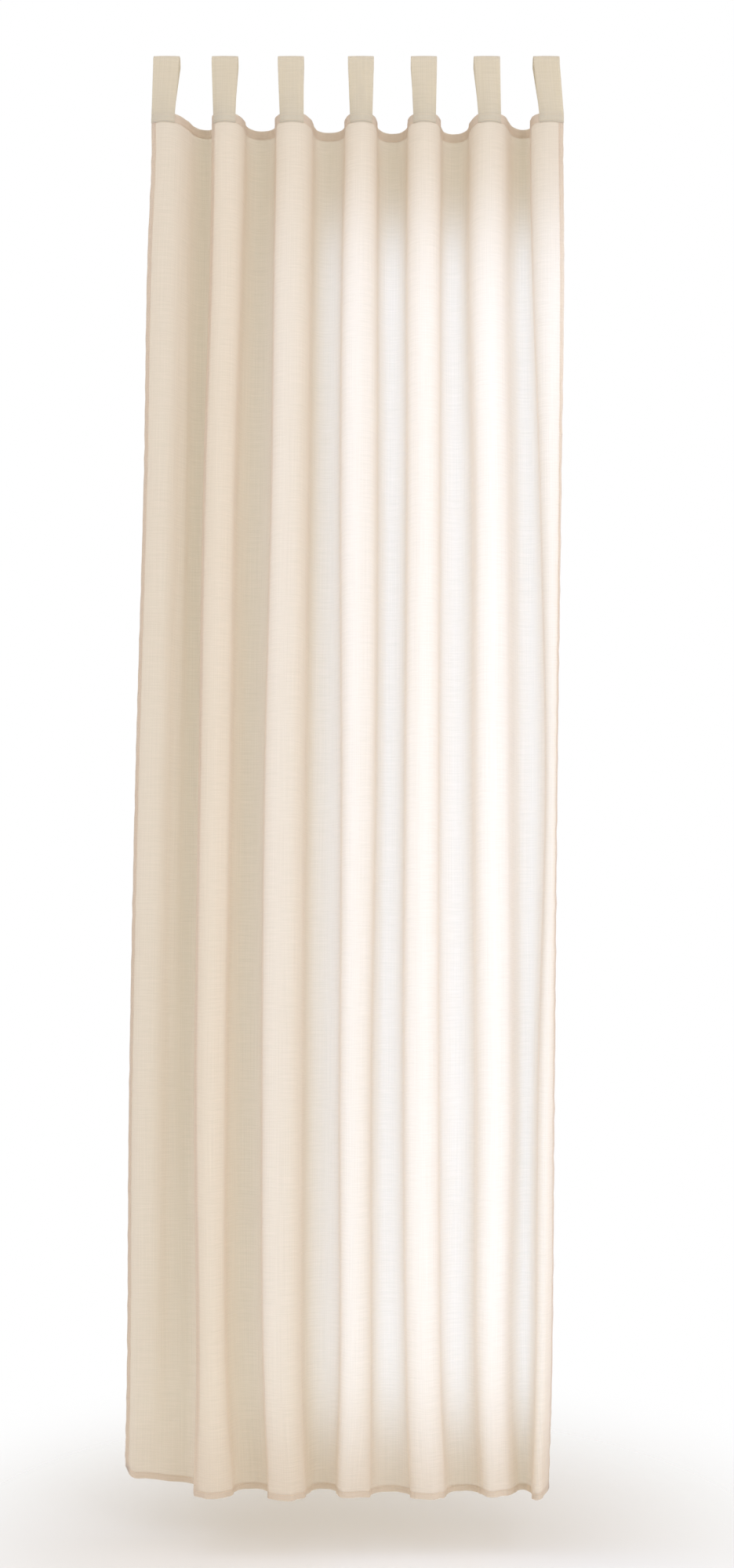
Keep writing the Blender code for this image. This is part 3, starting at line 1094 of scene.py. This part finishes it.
sheer_voile = voile("sheer_plain_weave_voile", YARN, open_share=0.52, glow_share=0.45)
hem_voile = voile("voile_turned_in", YARN, open_share=0.82, glow_share=0.45, gap_tint=HEM_TINT)
doubled_voile = voile("voile_folded_double", DOUBLED_YARN, open_share=0.48, glow_share=0.35)
print("the voile has", len(sheer_voile.node_tree.nodes), "nodes")

# %% [markdown]
# A hem's two inner layers are the same voile. But a renderer follows light through only a few
# layers, and then three of them come out darker than they are. So the layers that are turned in
# get a more open weave. Their faces are found on the map: they lie outside the sheet's edges.


# %% Give each face its finish
def turned_in(face):
    across, down = np.mean([flat_map[i].uv for i in face.loop_indices], axis=0) * (1, -1)
    past = max(-across, across - CLOTH_WIDTH, -down, down - PANEL_LENGTH)
    return past > SECOND_TURN / 2


flat_map = panel.data.uv_layers["cloth"].data
panel.data.materials.append(sheer_voile)
panel.data.materials.append(hem_voile)
for face in panel.data.polygons:
    face.material_index = int(turned_in(face))
for loop in loops:
    loop.data.materials.append(doubled_voile)
print(sum(face.material_index for face in panel.data.polygons), "faces lie in the hems")

# %% [markdown]
# ## Finish: sewing thread
#
# Spun polyester thread in the cloth's own colour: two twisted plies, matt, with a soft sheen. Its
# light and dark specks, a millimetre apart, are painted highlight and painted shade standing in
# for the twist.

# %% The thread's nodes
# the size of the thread's painted light and dark specks, which stand in for the shade of its twist
PAINTED_TWIST_SPECK_SIZE = 1.0 * MM
thread_finish.use_nodes = True
tree = thread_finish.node_tree
shader = tree.nodes["Principled BSDF"]
where = add_node(tree, "ShaderNodeTexCoord").outputs["Object"]
# painted shade and highlight: noise sets light and dark specks on the thread in place of its
# twist's relief
twist_painted_shade = add_node(tree, "ShaderNodeTexNoise", {"Vector": where, "Scale": 1 / PAINTED_TWIST_SPECK_SIZE, "Detail": 1.0})
thread_tone_with_painted_twist_shade = add_node(
    tree,
    "ShaderNodeMix",
    {"Factor": twist_painted_shade.outputs["Fac"], "A": linear("#E6D7BF"), "B": linear("#CDB997")},
    data_type="RGBA",
)
tree.links.new(thread_tone_with_painted_twist_shade.outputs["Result"], shader.inputs["Base Color"])
shader.inputs["Roughness"].default_value = 0.6
shader.inputs["Sheen Weight"].default_value = 0.3
print("thread finish made for", hem_stitches.name, "and", loop_stitches.name)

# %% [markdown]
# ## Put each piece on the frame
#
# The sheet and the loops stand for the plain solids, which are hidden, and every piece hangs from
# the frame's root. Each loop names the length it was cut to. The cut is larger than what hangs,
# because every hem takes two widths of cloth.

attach(panel, "root")
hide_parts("panel")
for number, loop in enumerate(loops, 1):
    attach(loop, "root")
    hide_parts(f"tab_{number}")
for sewn in (hem_stitches, loop_stitches):
    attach(sewn, "root")

# %% [markdown]
# ## Floor, light and camera
#
# The floor is a pale disc that fades out at its rim, so no horizon shows through the cloth. The
# background is plain white. The light comes evenly from the room's side, a little cool, because
# the yarn warms it. A large, faint lamp at the right lightens the flanks that face it. Light from
# one strong side would make voile look like satin. What comes from the wall's side is dimmer and
# warmer, and it reaches the back folds first, so they look deeper in tone than the front ones. In
# the photo the right two thirds of the cloth glow with daylight from behind, so a soft lamp the
# size of that glow stands there, close behind the folds.

# %% The floor
HEM_ABOVE_FLOOR = 0.10
FLOOR = PANEL_TOP - PANEL_LENGTH - HEM_ABOVE_FLOOR
FLOOR_REACH = 1.1
FLOOR_FADE_START = 0.1  # m from the middle
floor_mesh = bpy.data.meshes.new("floor")
bm = bmesh.new()
bmesh.ops.create_circle(bm, cap_ends=True, radius=FLOOR_REACH, segments=96)
bmesh.ops.translate(bm, verts=bm.verts, vec=(0, 0, FLOOR))
bm.to_mesh(floor_mesh)
bm.free()
floor = bpy.data.objects.new("floor", floor_mesh)
bpy.context.scene.collection.objects.link(floor)

floor_finish = bpy.data.materials.new("matt_pale_floor")
floor_finish.use_nodes = True
tree = floor_finish.node_tree
tree.nodes.clear()
where = add_node(tree, "ShaderNodeTexCoord").outputs["Object"]
flat_place = add_node(
    tree, "ShaderNodeVectorMath", {0: where, 1: (1.0, 1.0, 0.0)}, operation="MULTIPLY"
)
away = add_node(tree, "ShaderNodeVectorMath", {0: flat_place.outputs[0]}, operation="LENGTH")
fade = add_node(
    tree,
    "ShaderNodeMapRange",
    {"Value": away.outputs["Value"], "From Min": FLOOR_FADE_START, "From Max": FLOOR_REACH},
    interpolation_type="SMOOTHERSTEP",
)
pale = add_node(
    tree, "ShaderNodeBsdfPrincipled", {"Base Color": linear("#FFFFF6"), "Roughness": 0.9}
)
clear = add_node(tree, "ShaderNodeBsdfTransparent")
faded = add_node(
    tree,
    "ShaderNodeMixShader",
    {"Fac": fade.outputs["Result"], 1: pale.outputs[0], 2: clear.outputs[0]},
)
add_node(tree, "ShaderNodeOutputMaterial", {"Surface": faded.outputs[0]})
floor_mesh.materials.append(floor_finish)
print("the floor is", round(FLOOR, 3), "m from the rod's line")

# %% The light all round
ROOM_LIGHT = ("#F8F5FF", 1.14)
WALL_LIGHT = ("#C9AE6C", 0.36)
WHITE_BACKGROUND = ("#FFFFFF", 1.0)  # what the camera sees past the cloth
WALL_STARTS, WALL_IS_FULL = -0.1, 0.5  # the Y of a direction, where 1 is straight to the wall

world = bpy.data.worlds.new("studio")
world.use_nodes = True
tree = world.node_tree
tree.nodes.clear()
room, wall, white = [
    add_node(tree, "ShaderNodeBackground", {"Color": linear(colour), "Strength": strength})
    for colour, strength in (ROOM_LIGHT, WALL_LIGHT, WHITE_BACKGROUND)
]
way = add_node(tree, "ShaderNodeTexCoord").outputs["Generated"]
to_wall = add_node(tree, "ShaderNodeSeparateXYZ", {"Vector": way}).outputs["Y"]
wall_share = add_node(
    tree,
    "ShaderNodeMapRange",
    {"Value": to_wall, "From Min": WALL_STARTS, "From Max": WALL_IS_FULL},
    interpolation_type="SMOOTHSTEP",
)
around = add_node(
    tree,
    "ShaderNodeMixShader",
    {"Fac": wall_share.outputs["Result"], 1: room.outputs[0], 2: wall.outputs[0]},
)
seen = add_node(tree, "ShaderNodeLightPath").outputs["Is Camera Ray"]
whole = add_node(
    tree, "ShaderNodeMixShader", {"Fac": seen, 1: around.outputs[0], 2: white.outputs[0]}
)
add_node(tree, "ShaderNodeOutputWorld", {"Surface": whole.outputs[0]})
bpy.context.scene.world = world
bpy.context.scene.view_settings.view_transform = "Standard"
print("light all round:", ROOM_LIGHT, "from the room and", WALL_LIGHT, "from the wall")


# %% The lamps
def lamp(name, place, aim, size, power, colour, spread):
    data = bpy.data.lights.new(name, "AREA")
    data.shape = "RECTANGLE"
    data.size, data.size_y = size
    data.spread = math.radians(spread)
    data.energy = power
    data.color = linear(colour)[:3]
    obj = bpy.data.objects.new(name, data)
    obj.location = place
    way = np.array(aim) - np.array(place)
    level = math.hypot(way[0], way[1])
    obj.rotation_euler = (math.atan2(level, -way[2]), 0, math.atan2(-way[0], way[1]))
    obj.visible_camera = False
    bpy.context.scene.collection.objects.link(obj)


lamp(
    "soft_fill",
    place=(1.3, -2.3, -1.0),
    aim=(-0.2, 0, -1.2),
    size=(1.3, 2.6),
    power=15,
    colour="#FAF6FF",
    spread=180,
)
lamp(
    "daylight",
    place=(0.272, 0.20, -1.295),
    aim=(0.272, 0, -1.295),
    size=(0.68, 2.06),
    power=9.8,
    colour="#ACCAFF",
    spread=110,
)

# %% The camera, level and square to the curtain
CAMERA_PLACE = (0.01734, -3.4, -1.2241)
PHOTO_HEIGHT = 2000  # pixels
PIXELS_PER_DISTANCE = 2548.7  # the pixels of a thing that is as long as it is far away
camera_data = bpy.data.cameras.new("camera")
camera_data.sensor_width = 36.0
camera_data.lens = PIXELS_PER_DISTANCE / PHOTO_HEIGHT * camera_data.sensor_width
camera = bpy.data.objects.new("camera", camera_data)
camera.location = CAMERA_PLACE
camera.rotation_euler = (math.pi / 2, 0, 0)
bpy.context.scene.collection.objects.link(camera)
bpy.context.scene.camera = camera
print("lens:", round(camera_data.lens, 2), "mm")
